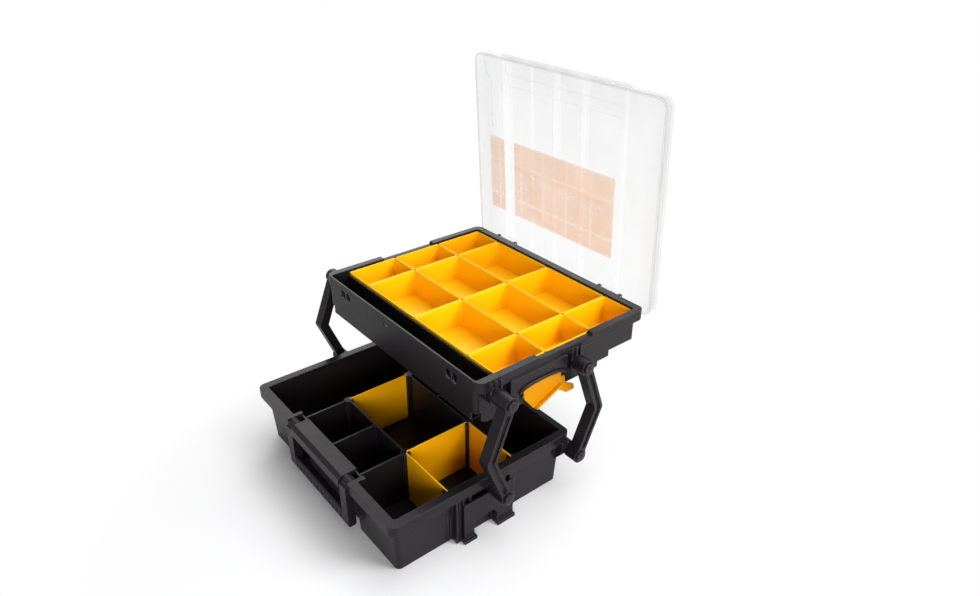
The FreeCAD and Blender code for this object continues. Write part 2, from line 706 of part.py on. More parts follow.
# Cover, drawn closed on the upper tray and swung open about its hinge
def lid_closed():
    bottom = upper_rim_top + lid_rest_gap
    top = bottom + lid_depth
    back = lid_axis_y + lid_behind_axis
    front = lid_axis_y - lid_reach
    shell = rounded_block(-lid_half_width, lid_half_width, front, back, lid_corner_radius, bottom, top)
    rim_edges = [edge for edge in shell.Edges if edge.BoundBox.ZMin > top - 0.01]
    shell = shell.makeFillet(lid_edge_round, rim_edges)
    hollow = rounded_block(-lid_half_width + lid_wall, lid_half_width - lid_wall, front + lid_wall,
                           back - lid_wall, lid_corner_radius - lid_wall, bottom - 1, top - lid_plate)
    hollow_edges = [edge for edge in hollow.Edges if edge.BoundBox.ZMin > top - lid_plate - 0.01]
    hollow = hollow.makeFillet(lid_edge_round - 1.0, hollow_edges)
    shell = shell.cut(hollow)
    # Moulded lines inside the plate and the free-edge lip
    lip = box(-lid_lip_half_width, lid_lip_half_width, front - lid_lip_reach, front + 1,
              bottom + 3, bottom + 3 + lid_lip_thickness)
    shell = joined([shell, lip] + lid_lines(top - lid_plate))
    # Hinge knuckles, each tied to the back wall by a flange
    tubes = []
    for side in (-1, 1):
        x0 = side * knuckle_station - knuckle_length / 2
        x1 = x0 + knuckle_length
        tubes.append(rod_x(knuckle_radius, x0, x1, lid_axis_y, lid_axis_z))
        knuckle_front = lid_axis_y - knuckle_radius
        tubes.append(box(x0, x1, knuckle_front, lid_axis_y + knuckle_radius, lid_axis_z, bottom + 0.5))
        tubes.append(box(x0, x1, knuckle_front, back - lid_wall / 2, bottom, bottom + lid_flange))
    shell = joined([shell] + tubes)
    bores = []
    for side in (-1, 1):
        x0 = side * knuckle_station - knuckle_length
        bores.append(rod_x(hinge_pin_radius + hinge_running_gap, x0, x0 + 2 * knuckle_length,
                           lid_axis_y, lid_axis_z))
    return one_solid(less(shell, bores))


# Raised lines inside the cover plate: panel edges, shoulder curves at the free edge and two cross lines
def lid_lines(ceiling):
    side_line = lid_half_width - lid_corner_radius / 2
    panel_line = side_line - lid_corner_radius
    curves = [[(-side_line, lid_shoulder_line + 14), (-side_line, lid_shoulder_line),
               (-panel_line, lid_panel_top), (-panel_line, lid_panel_top / 1.4)],
              [(-lid_ridge_end - 15, lid_shoulder_line + 14), (-lid_ridge_end - 17, lid_shoulder_line + 5),
               (-lid_ridge_end - 9, lid_panel_top)],
              [(-lid_ridge_end - 9, lid_panel_top), (lid_ridge_end, lid_panel_top)],
              [(-lid_ridge_end - 15, lid_shoulder_line), (lid_ridge_end, lid_shoulder_line)],
              [(lid_ridge_end, lid_ridge_low), (lid_ridge_end, lid_shoulder_line + 8)]]
    for x in lid_line_places:
        curves.append([(x, lid_ridge_low), (x, lid_panel_top)])
    lines = []
    for curve in curves:
        for (x0, s0), (x1, s1) in zip(curve, curve[1:]):
            run = math.hypot(x1 - x0, s1 - s0)
            side_x = (s1 - s0) / run * lid_ridge / 2
            side_s = (x1 - x0) / run * lid_ridge / 2
            corners = [Vec(x, lid_axis_y - s, ceiling - lid_ridge_height)
                       for x, s in ((x0 + side_x, s0 - side_s), (x1 + side_x, s1 - side_s),
                                    (x1 - side_x, s1 + side_s), (x0 - side_x, s0 + side_s))]
            corners.append(corners[0])
            lines.append(Part.Face(Part.makePolygon(corners)).extrude(Vec(0, 0, lid_ridge_height + 0.5)))
    return lines


def label_closed():
    z = upper_rim_top + lid_rest_gap + lid_depth
    return box(label_left, label_right, lid_axis_y - label_high, lid_axis_y - label_low,
               z, z + label_thickness)


def swung_open(shape):
    turned = shape.copy()
    turned.rotate(Vec(0, lid_axis_y, lid_axis_z), Vec(1, 0, 0), -lid_open_angle)
    return turned


# Side latch hanging from its lugs, flared outward, with a finger lip along its slanted lower edge and a hook
def latch():
    z = latch_axis_z
    inside = latch_axis_x - latch_plate / 2
    outside = latch_axis_x + latch_plate / 2
    barrel = rod_y(latch_barrel_radius, latch_front, latch_rear, latch_axis_x, z)
    hook_low = z - latch_hook_depth
    plate = plate_yz([(latch_front, z), (latch_front, z - latch_front_depth),
                      (latch_corner, z - latch_corner_depth), (latch_slope_end, z - latch_slope_depth),
                      (latch_slope_end + 1.5, hook_low + latch_hook_height),
                      (latch_hook_start, hook_low), (latch_hook_end, hook_low),
                      (latch_hook_end, hook_low + latch_hook_height),
                      (latch_hook_start, hook_low + 2 * latch_hook_height),
                      (latch_hook_start, z - latch_lug_height),
                      (latch_rear, z - latch_lug_height), (latch_rear, z)], inside, outside)
    lip = plate_yz([(latch_corner, z - latch_corner_depth), (latch_slope_end, z - latch_slope_depth),
                    (latch_slope_end, z - latch_slope_depth + latch_lip_thickness),
                    (latch_corner, z - latch_corner_depth + latch_lip_thickness)],
                   inside, outside + latch_lip_reach)
    nose = box(inside - latch_nose_reach, inside + 0.5, latch_hook_start + 1, latch_hook_end - 0.5,
               hook_low, hook_low + latch_nose_height)
    shape = joined([plate, lip, nose])
    shape.rotate(Vec(latch_axis_x, 0, z), Vec(0, 1, 0), -latch_flare)
    shape = joined([barrel, shape])
    bore = rod_y(latch_pin_radius + hinge_running_gap, latch_front - 1, latch_rear + 1, latch_axis_x, z)
    return one_solid(less(shape, [bore]))


def latch_pins():
    start = latch_front - knuckle_gap - latch_lug
    end = latch_rear + knuckle_gap + latch_lug
    return Part.makeCompound(both_sides(rod_y(latch_pin_radius, start, end, latch_axis_x, latch_axis_z)))


def moved_back(shape):
    moved = shape.copy()
    moved.translate(Vec(0, upper_tray_shift, 0))
    return moved


save(lower_tray(), "lower_tray")
save(divider_along_y(-cell_half_width), "divider_left")
save(divider_along_y(cell_half_width), "divider_right")
save(divider_along_x(front_line_y), "divider_front")
save(divider_along_x(rear_line_y), "divider_rear")
save(carry_handle(), "carry_handle")
save(handle_pins(), "handle_pins")
save(pivot_pins(lower_pivot_front_y, lower_pivot_height, front_arm_outer_x), "lower_front_pins")
save(pivot_pins(lower_pivot_rear_y, lower_rear_height, rear_arm_outer_x), "lower_rear_pins")

front_arm = arm((lower_pivot_front_y, lower_pivot_height), (upper_pivot_front_y, upper_pivot_height), -1,
                front_arm_outer_x, pivot_running_gap)
rear_arm = arm((lower_pivot_rear_y, lower_rear_height), (upper_pivot_rear_y, upper_rear_height), 1,
               rear_arm_outer_x, open_pivot_gap)
save(front_arm, "front_arm_right")
save(other_side(front_arm), "front_arm_left")
save(rear_arm, "rear_arm_right")
save(other_side(rear_arm), "rear_arm_left")

save(moved_back(upper_tray()), "upper_tray")
save(pivot_pins(upper_pivot_front_y, upper_pivot_height, front_arm_outer_x), "upper_front_pins")
save(pivot_pins(upper_pivot_rear_y, upper_rear_height, rear_arm_outer_x), "upper_rear_pins")

column_lines = [-upper_inside_x, -bin_column_edge, 0.0, bin_column_edge, upper_inside_x]
row_start = upper_inside_front + trough_depth
row_pitch = (upper_inside_back - row_start) / bin_rows
for column in range(4):
    for row in range(bin_rows):
        y = row_start + row_pitch * row
        piece = cup(column_lines[column], column_lines[column + 1], y, y + row_pitch)
        save(moved_back(piece), "bin_%d_%d" % (column + 1, row + 1))

save(moved_back(latch()), "latch_right")
save(moved_back(other_side(latch())), "latch_left")
save(moved_back(latch_pins()), "latch_pins")
save(moved_back(swung_open(lid_closed())), "lid")
save(moved_back(swung_open(label_closed())), "lid_label")
save(moved_back(lid_hinge_pins()), "lid_hinge_pins")
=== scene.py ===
import json
import math

import bmesh
import bpy
import numpy as np
from mathutils import Matrix, Vector


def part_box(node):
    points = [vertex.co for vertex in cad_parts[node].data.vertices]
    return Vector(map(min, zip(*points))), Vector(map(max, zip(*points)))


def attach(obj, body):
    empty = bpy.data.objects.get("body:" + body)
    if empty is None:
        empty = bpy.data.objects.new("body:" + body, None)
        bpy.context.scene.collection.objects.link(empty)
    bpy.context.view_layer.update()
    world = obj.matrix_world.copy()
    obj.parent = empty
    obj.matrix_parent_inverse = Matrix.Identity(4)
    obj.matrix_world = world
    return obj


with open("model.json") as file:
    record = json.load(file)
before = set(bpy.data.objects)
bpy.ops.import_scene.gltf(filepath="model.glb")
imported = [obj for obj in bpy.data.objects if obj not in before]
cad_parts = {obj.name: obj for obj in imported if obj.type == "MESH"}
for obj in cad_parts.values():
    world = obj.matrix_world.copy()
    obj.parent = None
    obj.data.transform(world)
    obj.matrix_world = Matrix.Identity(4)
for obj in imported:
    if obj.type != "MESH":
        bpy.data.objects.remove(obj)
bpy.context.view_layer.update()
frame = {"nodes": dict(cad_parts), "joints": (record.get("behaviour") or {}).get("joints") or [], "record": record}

MM = 0.001
UP = np.array([0.0, 0.0, 1.0])
SIDEWAYS = np.array([1.0, 0.0, 0.0])
SIDES = ((1, "right"), (-1, "left"))

# Camera of the catalogue view, in metres and degrees; lens and sensor in millimetres
CAMERA_PLACE = (0.62625, -0.38773, 0.62680)
CAMERA_AZIMUTH = 51.056
CAMERA_ELEVATION = 28.810
CAMERA_ROLL = 0.238
CAMERA_LENS = 27.571
CAMERA_SENSOR = 36.0
PICTURE_WIDTH = 980.0
CAMERA_SHIFT = 6.0 / PICTURE_WIDTH
CAMERA_NEAR = 0.01
CAMERA_FAR = 100.0

# Lips of the cups and dividers, in metres; the divider's sink is a share of its radius
CUP_WALL = 0.0015
CUP_CORNER = 0.003
CUP_LIP_SINK = CUP_WALL / 4
DIVIDER_LIP_INSET = 0.0005
DIVIDER_LIP_SINK = 0.25
DIVIDER_LIP_STEPS = 12

# Domed cap of a pivot pin: radius and height pairs from the pole outwards, in millimetres
CAP_PROFILE = [(0.0, 0.9), (1.2, 0.86), (2.4, 0.72), (3.1, 0.5), (3.4, 0.2), (3.8, 0.2), (4.1, 0.42),
               (5.0, 0.34), (5.6, 0.12), (5.9, -0.5), (0.0, -0.5)]

# Frosted cover, in metres: its outline, the bead on its rim, the bands of its finish, and the borders and the ramp
# below its top where it is painted denser as shade
COVER_HALF_WIDTH = 0.156
COVER_TOP = 0.4448
COVER_REACH = 0.2455
COVER_BEHIND_AXIS = 0.012
COVER_CORNER = 0.012
COVER_OPEN_ANGLE = 87.0
COVER_BEAD_HEIGHT = 0.0044
COVER_BEAD_RADIUS = 0.001
COVER_BANDS = ((-0.1175, -0.1005), (-0.0645, -0.0595), (-0.022, -0.012), (0.025, 0.035), (0.0895, 0.0945))
COVER_BAND_SOFTNESS = 0.0012
COVER_SIDE_BORDER = 0.034
COVER_TOP_BORDER = 0.060
COVER_SHADE_RAMP_BELOW_TOP = 0.22
COVER_EDGE = 0.0009

# How much the frosted cover hides, from 0 to 1, and the factors on that low to high and in its bands; the low to
# high factor, the border and the edges towards the rim add cover as painted shade
COVER_BODY = (0.06, 0.09)
COVER_BODY_LOW_TO_HIGH = (0.6, 1.1)
COVER_BODY_IN_BAND = 0.35
COVER_EDGES_INSIDE_TO_RIM = (0.05, 0.34)
COVER_BORDER = 0.08
COVER_GRAZING = 0.25
COVER_BACKLIGHT = 0.4

# Card on the cover, in metres
CHANNEL_MIDDLE = -0.109
CHANNEL_HALF = 0.0085
CHANNEL_SOFTNESS = 0.002
CARD_SOFT_EDGE = 0.003
CARD_BLOCK_WIDTH = 0.043
CARD_BLOCK_HEIGHT = 0.05
CARD_LINE = 0.0034

# How much the card hides, from 0 to 1, and the factors on that at its outline and in its stripe
CARD_BODY = (0.36, 0.44)
CARD_BODY_AT_OUTLINE = 0.25
CARD_BODY_IN_STRIPE = 0.2
CARD_BACKLIGHT = 0.6

# Rolled edge of the latch hoods, measured from each latch's hook end and hinge axis
HOOD_FACE = 0.1576
HOOD_ROLL_FRONT = -0.0785
HOOD_ROLL_REAR = -0.0125
HOOD_ROLL_LIFT = 0.0008
HOOD_ROLL_RISE = 0.0032
HOOD_ROLL_FALL = 0.0030
HOOD_ROLL_RADIUS = 0.0021
HOOD_ROLL_STEPS = 41

# Rail in the lowered stretch of each side rim, along Y from the upper tray's middle and down from its rim
TRAY_HALF_DEPTH = 0.123
RAIL_START = -0.0412
RAIL_END = 0.0352
RAIL_INNER = 0.1472
RAIL_OUTER = 0.1548
RAIL_TOP_DROP = 0.0034
RAIL_BOTTOM_DROP = 0.0069
RAIL_SQUARENESS = 5.0
RAIL_END_SQUARENESS = 30.0
RAIL_SECTION_STEPS = 48
RAIL_LENGTH_STEPS = 41

# Ribbed sleeve over each end of the handle's hinge
HANDLE_ARM_WIDTH = 0.013
HANDLE_HUB_RADIUS = 0.007
SLEEVE_MARGIN = 0.0008
SLEEVE_DEPTH = 0.001
SLEEVE_RIBS = 3
SLEEVE_RISE = 0.0005
SLEEVE_STEPS_PER_RIB = 12

# Grids: points round a roll's section, at a rounded corner, over a roll's tip and round a turned piece
ROLL_STEPS = 10
CORNER_STEPS = 7
TIP_STEPS = 5
TURN_STEPS = 40
MERGE_DISTANCE = 1e-7

# Middle of the range of a noise node, which is stretched over the values that a finish needs
NOISE_LOW = 0.3
NOISE_HIGH = 0.7

# Likeness of the plain and the eased normal on a flat and on an edge, and rays for the eased one
EDGE_FLAT = 0.99
EDGE_ROUND = 0.80
EDGE_SAMPLES = 6

# Moulded plastic: noise scales per metre, the noise band and amount of lighter edges, which are wear and a painted
# highlight, and its spark grain
DRIFT_SCALE = 14.0
SHEEN_SCALE = 60.0
EDGE_WEAR_AND_HIGHLIGHT_SCALE = 420.0
EDGE_WEAR_AND_HIGHLIGHT_BAND = (0.35, 0.65)
EDGE_WEAR_AND_HIGHLIGHT_AMOUNT = (0.25, 0.9)
SPARK_SPACING = 0.6
SPARK_HEIGHT = 0.5
MOULD_GRAIN_DEPTH = 0.00008

# Floor, in metres: its shadowed patch, where it is plain white, and its tones as seen and as a reflector
FLOOR_CENTRE = (0.08, -0.07, 0.0)
FLOOR_SHADOW_REACH = 0.19
FLOOR_WHITE_REACH = 0.34
FLOOR_HALF_SIZE = 30.0
FLOOR_DROP = 0.0004
FLOOR_SEEN = (0.82, 0.82, 0.83, 1.0)
FLOOR_REFLECTING = (0.45, 0.45, 0.45, 1.0)

# Light of the world on the case, and how much of the white background shows in glossy reflections
WORLD_LIGHT = 0.12
WORLD_IN_GLOSS = 0.8

# Soft boxes: name, place, aim, width and height in metres, and power in watts
LAMPS = (
    ("key_right", (1.45, 0.95, 1.40), (0.0, 0.08, 0.12), 1.0, 0.9, 32.0),
    ("fill_front", (1.32, -0.78, 0.52), (0.0, 0.0, 0.08), 0.9, 0.6, 16.5),
    ("top", (0.15, 0.35, 1.9), (0.0, 0.06, 0.1), 1.3, 1.3, 17.0),
    ("back_left", (-1.5, 1.05, 1.42), (0.0, 0.05, 0.15), 1.6, 1.2, 20.0),
)


def srgb(red, green, blue):
    """Linear colour of a colour written as 0 to 255 display values."""
    values = np.array([red, green, blue], float) / 255.0
    linear = np.where(values <= 0.04045, values / 12.92, ((values + 0.055) / 1.055) ** 2.4)
    return tuple(float(v) for v in linear) + (1.0,)


class Nodes:
    """Node tree with short calls that add, link and combine its nodes."""

    def __init__(self, tree):
        self.tree = tree

    def add(self, kind, **settings):
        """New node with its settings."""
        node = self.tree.nodes.new(kind)
        for key, value in settings.items():
            setattr(node, key, value)
        return node

    def link(self, source, target):
        """Link from an output to an input."""
        self.tree.links.new(source, target)

    def spread(self, value, low, high, to_low=0.0, to_high=1.0):
        """Value stretched from the range low to high onto the range to_low to to_high, and held there."""
        node = self.add("ShaderNodeMapRange")
        node.inputs["From Min"].default_value = low
        node.inputs["From Max"].default_value = high
        node.inputs["To Min"].default_value = to_low
        node.inputs["To Max"].default_value = to_high
        self.link(value, node.inputs["Value"])
        return node.outputs["Result"]

    def math(self, operation, first, second=None):
        """One sum of one or two values, each a number or an output."""
        node = self.add("ShaderNodeMath", operation=operation)
        for socket, value in zip(node.inputs, (first, second)):
            if value is None:
                continue
            if isinstance(value, (int, float)):
                socket.default_value = value
            else:
                self.link(value, socket)
        return node.outputs["Value"]


class Finish(Nodes):
    """One node material under construction: its tree, its Principled shader and its Object coordinates."""

    def __init__(self, name):
        self.material = bpy.data.materials.new(name)
        self.material.use_nodes = True
        super().__init__(self.material.node_tree)
        self.shader = self.tree.nodes["Principled BSDF"]
        self.output = self.tree.nodes["Material Output"].inputs["Surface"]
        self.place = self.add("ShaderNodeTexCoord").outputs["Object"]

    def noise(self, scale, detail=2.0, roughness=0.5, stretch=None):
        """Noise in the piece's own metres, stretched along an axis where its factor is small."""
        node = self.add("ShaderNodeTexNoise")
        node.inputs["Scale"].default_value = scale
        node.inputs["Detail"].default_value = detail
        node.inputs["Roughness"].default_value = roughness
        place = self.place
        if stretch is not None:
            mapping = self.add("ShaderNodeMapping")
            mapping.inputs["Scale"].default_value = stretch
            self.link(place, mapping.inputs["Vector"])
            place = mapping.outputs["Vector"]
        self.link(place, node.inputs["Vector"])
        return node.outputs["Fac"]

    def varied(self, scale, detail=2.0, low=0.0, high=1.0, roughness=0.5):
        """Noise that runs from low to high."""
        return self.spread(self.noise(scale, detail, roughness), NOISE_LOW, NOISE_HIGH, low, high)

    def cells(self, scale):
        """Distance to the nearest of scattered points."""
        node = self.add("ShaderNodeTexVoronoi")
        node.inputs["Scale"].default_value = scale
        self.link(self.place, node.inputs["Vector"])
        return node.outputs["Distance"]

    def along(self, axis):
        """One coordinate of the surface point, in metres in the shared frame at rest."""
        split = self.add("ShaderNodeSeparateXYZ")
        self.link(self.place, split.inputs["Vector"])
        return split.outputs[axis]

    def away_from(self, axis, middle):
        """Distance of the surface point from a plane across one axis, in metres."""
        return self.math("ABSOLUTE", self.math("SUBTRACT", self.along(axis), middle))

    def blend(self, amount, first, second):
        """Mix of two colours, each a value or an output."""
        node = self.add("ShaderNodeMix", data_type="RGBA")
        self.link(amount, node.inputs["Factor"])
        for socket, value in ((node.inputs[6], first), (node.inputs[7], second)):
            if isinstance(value, tuple):
                socket.default_value = value
            else:
                self.link(value, socket)
        return node.outputs[2]

    def eased_edges(self, radius):
        """Normal with the surface's edges rounded to a radius, and a mask of 0 on flats to 1 on edges."""
        round_off = self.add("ShaderNodeBevel", samples=EDGE_SAMPLES)
        round_off.inputs["Radius"].default_value = radius
        plain = self.add("ShaderNodeNewGeometry")
        likeness = self.add("ShaderNodeVectorMath", operation="DOT_PRODUCT")
        self.link(round_off.outputs["Normal"], likeness.inputs[0])
        self.link(plain.outputs["Normal"], likeness.inputs[1])
        return round_off.outputs["Normal"], self.spread(likeness.outputs["Value"], EDGE_FLAT, EDGE_ROUND)

    def grain(self, height, depth, strength, normal=None):
        """Fine relief on the shader's normal, over the eased edges where their normal is given."""
        bump = self.add("ShaderNodeBump")
        bump.inputs["Distance"].default_value = depth
        bump.inputs["Strength"].default_value = strength
        self.link(height, bump.inputs["Height"])
        if normal is not None:
            self.link(normal, bump.inputs["Normal"])
        self.link(bump.outputs["Normal"], self.shader.inputs["Normal"])

    def layered(self, amount, under, over):
        """Mix of two shaders, by a number or an output."""
        mix = self.add("ShaderNodeMixShader")
        if isinstance(amount, float):
            mix.inputs[0].default_value = amount
        else:
            self.link(amount, mix.inputs[0])
        self.link(under, mix.inputs[1])
        self.link(over, mix.inputs[2])
        return mix.outputs[0]

    def see_through(self, colour, backlight, cover):
        """Let light from behind glow through, and the scene show where the cover value is under 1."""
        glow = self.add("ShaderNodeBsdfTranslucent")
        self.link(colour, glow.inputs["Color"])
        clear = self.add("ShaderNodeBsdfTransparent")
        body = self.layered(backlight, self.shader.outputs[0], glow.outputs[0])
        self.link(self.layered(cover, clear.outputs[0], body), self.output)


def moulded_plastic(name, dark, light, edge_wear_and_highlight, rough, grain_scale, grain_strength, edge, gloss):
    """Injection moulded plastic: slow tone drift, spark grain, satin roughness, and edges lightened as wear and a
    painted highlight.
    """
    f = Finish(name)
    normal, mask = f.eased_edges(edge)
    tone = f.blend(f.varied(DRIFT_SCALE, detail=3.0), dark, light)
    # Edges blended towards the lighter edge colour: partly wear, partly a painted highlight along the edges
    edge_wear_and_highlight_amount = f.math("MULTIPLY", mask, f.spread(f.noise(EDGE_WEAR_AND_HIGHLIGHT_SCALE), *EDGE_WEAR_AND_HIGHLIGHT_BAND, *EDGE_WEAR_AND_HIGHLIGHT_AMOUNT))
    f.link(f.blend(edge_wear_and_highlight_amount, tone, edge_wear_and_highlight), f.shader.inputs["Base Color"])
    sheen = f.varied(SHEEN_SCALE, detail=4.0, low=rough[0], high=rough[1], roughness=0.6)
    f.link(sheen, f.shader.inputs["Roughness"])
    f.shader.inputs["Specular IOR Level"].default_value = gloss
    sparks = f.math("MULTIPLY", f.cells(grain_scale * SPARK_SPACING), SPARK_HEIGHT)
    f.grain(f.math("ADD", f.noise(grain_scale), sparks), MOULD_GRAIN_DEPTH, grain_strength, normal)
    return f


def satin_yellow(name, dark, light, edge_wear_and_highlight, edge, gloss):
    """Moulded plastic with the grain and satin that cups, dividers and latches share."""
    return moulded_plastic(name, dark, light, edge_wear_and_highlight, rough=(0.36, 0.46), grain_scale=900.0,
                           grain_strength=0.14, edge=edge, gloss=gloss)


def frosted_clear(name):
    """Frosted clear plastic: milky, with a fine grain, whiter on edges as a painted highlight, and denser on edges
    and towards the cover's top and outline as painted shade.
    """
    f = Finish(name)
    normal, mask = f.eased_edges(COVER_EDGE)
    drift = f.blend(f.varied(scale=9.0), srgb(190, 192, 196), srgb(204, 206, 208))
    # Eased edges whitened: a painted highlight along the cover's edges
    milk_and_edge_highlight = f.blend(mask, drift, srgb(250, 250, 250))
    f.link(milk_and_edge_highlight, f.shader.inputs["Base Color"])
    f.link(f.varied(scale=80.0, detail=3.0, low=0.25, high=0.38), f.shader.inputs["Roughness"])
    f.shader.inputs["Specular IOR Level"].default_value = 0.35
    f.shader.inputs["IOR"].default_value = 1.49
    f.grain(f.noise(scale=700.0), depth=0.00005, strength=0.25, normal=normal)
    # Painted shade: the cover hides more within a border along its sides and top, and more towards its top than
    # low down
    top_border = COVER_TOP - COVER_TOP_BORDER
    sides = f.spread(f.away_from("X", 0.0), COVER_HALF_WIDTH - COVER_SIDE_BORDER, COVER_HALF_WIDTH)
    rim = f.math("MAXIMUM", sides, f.spread(f.along("Z"), top_border, COVER_TOP))
    painted_shade_low_to_high = f.spread(f.along("Z"), COVER_TOP - COVER_SHADE_RAMP_BELOW_TOP, top_border, *COVER_BODY_LOW_TO_HIGH)
    body = f.math("MULTIPLY", f.varied(30.0, 3.0, *COVER_BODY), painted_shade_low_to_high)
    for low, high in COVER_BANDS:
        half = (high - low) / 2
        off = f.away_from("X", (low + high) / 2)
        clearer = f.spread(off, half, half + COVER_BAND_SOFTNESS, COVER_BODY_IN_BAND, 1.0)
        body = f.math("MULTIPLY", body, clearer)
    facing = f.add("ShaderNodeLayerWeight")
    facing.inputs["Blend"].default_value = 0.35
    grazing = f.math("MULTIPLY", f.spread(facing.outputs["Facing"], 0.55, 1.0), COVER_GRAZING)
    edges = f.math("MULTIPLY", mask, f.spread(rim, 0.0, 1.0, *COVER_EDGES_INSIDE_TO_RIM))
    dense = f.math("ADD", edges, f.math("ADD", f.math("MULTIPLY", rim, COVER_BORDER), grazing))
    f.see_through(milk_and_edge_highlight, COVER_BACKLIGHT, f.math("ADD", body, dense))
    return f


def printed_card(name):
    """Peach card: paper fibre, a faint grid of plain blocks, and a white stripe along the cover's channel."""
    f = Finish(name)
    low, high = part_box("lid_label")
    drift = f.varied(scale=22.0)
    deep = f.blend(drift, srgb(235, 180, 126), srgb(242, 194, 142))
    pale = f.blend(drift, srgb(229, 188, 152), srgb(238, 208, 178))
    tone = f.blend(f.spread(f.along("Z"), low[2], high[2]), deep, pale)
    upright = f.add("ShaderNodeMapping", vector_type="TEXTURE")
    upright.inputs["Rotation"].default_value = (math.pi / 2, 0.0, 0.0)
    f.link(f.place, upright.inputs["Vector"])
    blocks = f.add("ShaderNodeTexBrick", offset=0.0)
    f.link(upright.outputs["Vector"], blocks.inputs["Vector"])
    for socket, value in (("Scale", 1.0), ("Brick Width", CARD_BLOCK_WIDTH),
                          ("Row Height", CARD_BLOCK_HEIGHT), ("Mortar Size", CARD_LINE),
                          ("Mortar Smooth", 1.0)):
        blocks.inputs[socket].default_value = value
    printed = f.blend(blocks.outputs["Fac"], tone, srgb(242, 210, 178))
    off_channel = f.away_from("X", CHANNEL_MIDDLE)
    stripe = f.spread(off_channel, CHANNEL_HALF, CHANNEL_HALF + CHANNEL_SOFTNESS, 1.0, 0.0)
    face = f.blend(stripe, printed, srgb(252, 250, 248))
    f.link(face, f.shader.inputs["Base Color"])
    f.link(f.varied(scale=90.0, low=0.5, high=0.66), f.shader.inputs["Roughness"])
    f.grain(f.noise(scale=1500.0, detail=3.0), depth=0.00004, strength=0.3)
    body = f.varied(40.0, 2.0, *CARD_BODY)
    for axis, index in (("X", 0), ("Z", 2)):
        half = (high[index] - low[index]) / 2
        off = f.away_from(axis, (low[index] + high[index]) / 2)
        outline = f.spread(off, half - CARD_SOFT_EDGE, half, 1.0, CARD_BODY_AT_OUTLINE)
        body = f.math("MULTIPLY", body, outline)
    in_stripe = f.spread(stripe, 0.0, 1.0, 1.0, CARD_BODY_IN_STRIPE)
    f.see_through(face, CARD_BACKLIGHT, f.math("MULTIPLY", body, in_stripe))
    return f


def drawn_steel(name):
    """Drawn steel rod: fine lengthways scratches."""
    f = Finish(name)
    scratch = f.noise(scale=900.0, stretch=(0.05, 1.0, 1.0))
    f.link(f.blend(scratch, srgb(150, 150, 154), srgb(196, 196, 200)), f.shader.inputs["Base Color"])
    f.link(f.spread(scratch, NOISE_LOW, NOISE_HIGH, 0.25, 0.42), f.shader.inputs["Roughness"])
    f.shader.inputs["Metallic"].default_value = 1.0
    f.grain(scratch, depth=0.00003, strength=0.3)
    return f


# Finishes by the record's slots, and for the dividers and latches the cups' yellow painted in shade: more orange
# on the dividers, darker on the latches
# The third colour of each moulded plastic is what its edges lighten towards: wear, and a painted highlight
FINISHES = {
    "black_plastic": moulded_plastic("case_black", srgb(24, 20, 23), srgb(29, 25, 28), srgb(100, 96, 100),
                                     rough=(0.31, 0.38), grain_scale=1100.0, grain_strength=0.16,
                                     edge=0.0008, gloss=0.18),
    "pin_plastic": moulded_plastic("pin_black", srgb(25, 21, 24), srgb(31, 27, 30), srgb(84, 80, 84),
                                   rough=(0.26, 0.34), grain_scale=1300.0, grain_strength=0.12,
                                   edge=0.0005, gloss=0.24),
    "yellow_plastic": satin_yellow("cup_yellow", srgb(250, 191, 0), srgb(254, 198, 0), srgb(255, 206, 10),
                                   edge=0.0005, gloss=0.32),
    # Dividers: the cups' yellow turned deeper orange, as painted shade
    "divider": satin_yellow("divider_yellow_painted_shade", srgb(251, 172, 0), srgb(254, 180, 0), srgb(255, 202, 10),
                            edge=0.0005, gloss=0.30),
    # Latches: the cups' yellow darkened, as painted shade
    "latch": satin_yellow("latch_yellow_painted_shade", srgb(200, 128, 0), srgb(209, 138, 0), srgb(255, 214, 24),
                          edge=0.0008, gloss=0.12),
    "clear_plastic": frosted_clear("cover_frosted"),
    "label_card": printed_card("card_peach"),
    "pin_steel": drawn_steel("pin_steel"),
}


def dress_nodes():
    """Finish on every CAD node: yellow dividers and latches have their own yellows with painted shade, the rest
    follow their slots.
    """
    for part in frame["record"]["subparts"]:
        slot = part["material_slot"]
        kind = part["node"].split("_")[0]
        finish = FINISHES[kind if slot == "yellow_plastic" and kind in FINISHES else slot]
        for place in frame["nodes"][part["node"]].material_slots:
            place.material = finish.material


def nodes_named(start):
    """Names of the CAD nodes that start with a word."""
    return [name for name in frame["nodes"] if name.startswith(start)]


def corners(name):
    """Lowest and highest corner of a CAD node at rest."""
    low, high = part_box(name)
    return np.array(low), np.array(high)


def joint_place(name):
    """Point on a joint's axis at rest."""
    return np.array(next(joint for joint in frame["joints"] if joint["name"] == name)["pos_m"])


def detail_piece(name, grid, rows_run_round, slot, body):
    """Closed mesh of a grid of points whose columns run round: its rows run round too, or end in poles."""
    rows, columns = grid.shape[:2]
    strips = rows if rows_run_round else rows - 1
    row, column = np.meshgrid(np.arange(strips), np.arange(columns), indexing="ij")
    next_row = (row + 1) % rows
    next_column = (column + 1) % columns
    quads = np.stack([row * columns + column, next_row * columns + column,
                      next_row * columns + next_column, row * columns + next_column], axis=-1).reshape(-1, 4)
    mesh = bpy.data.meshes.new(name)
    mesh.from_pydata(grid.reshape(-1, 3).tolist(), [], quads.tolist())
    skin = bmesh.new()
    skin.from_mesh(mesh)
    bmesh.ops.remove_doubles(skin, verts=skin.verts, dist=MERGE_DISTANCE)
    bmesh.ops.recalc_face_normals(skin, faces=skin.faces)
    skin.to_mesh(mesh)
    skin.free()
    mesh.polygons.foreach_set("use_smooth", [True] * len(mesh.polygons))
    mesh.materials.append(FINISHES[slot].material)
    piece = bpy.data.objects.new(name, mesh)
    bpy.context.scene.collection.objects.link(piece)
    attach(piece, body)


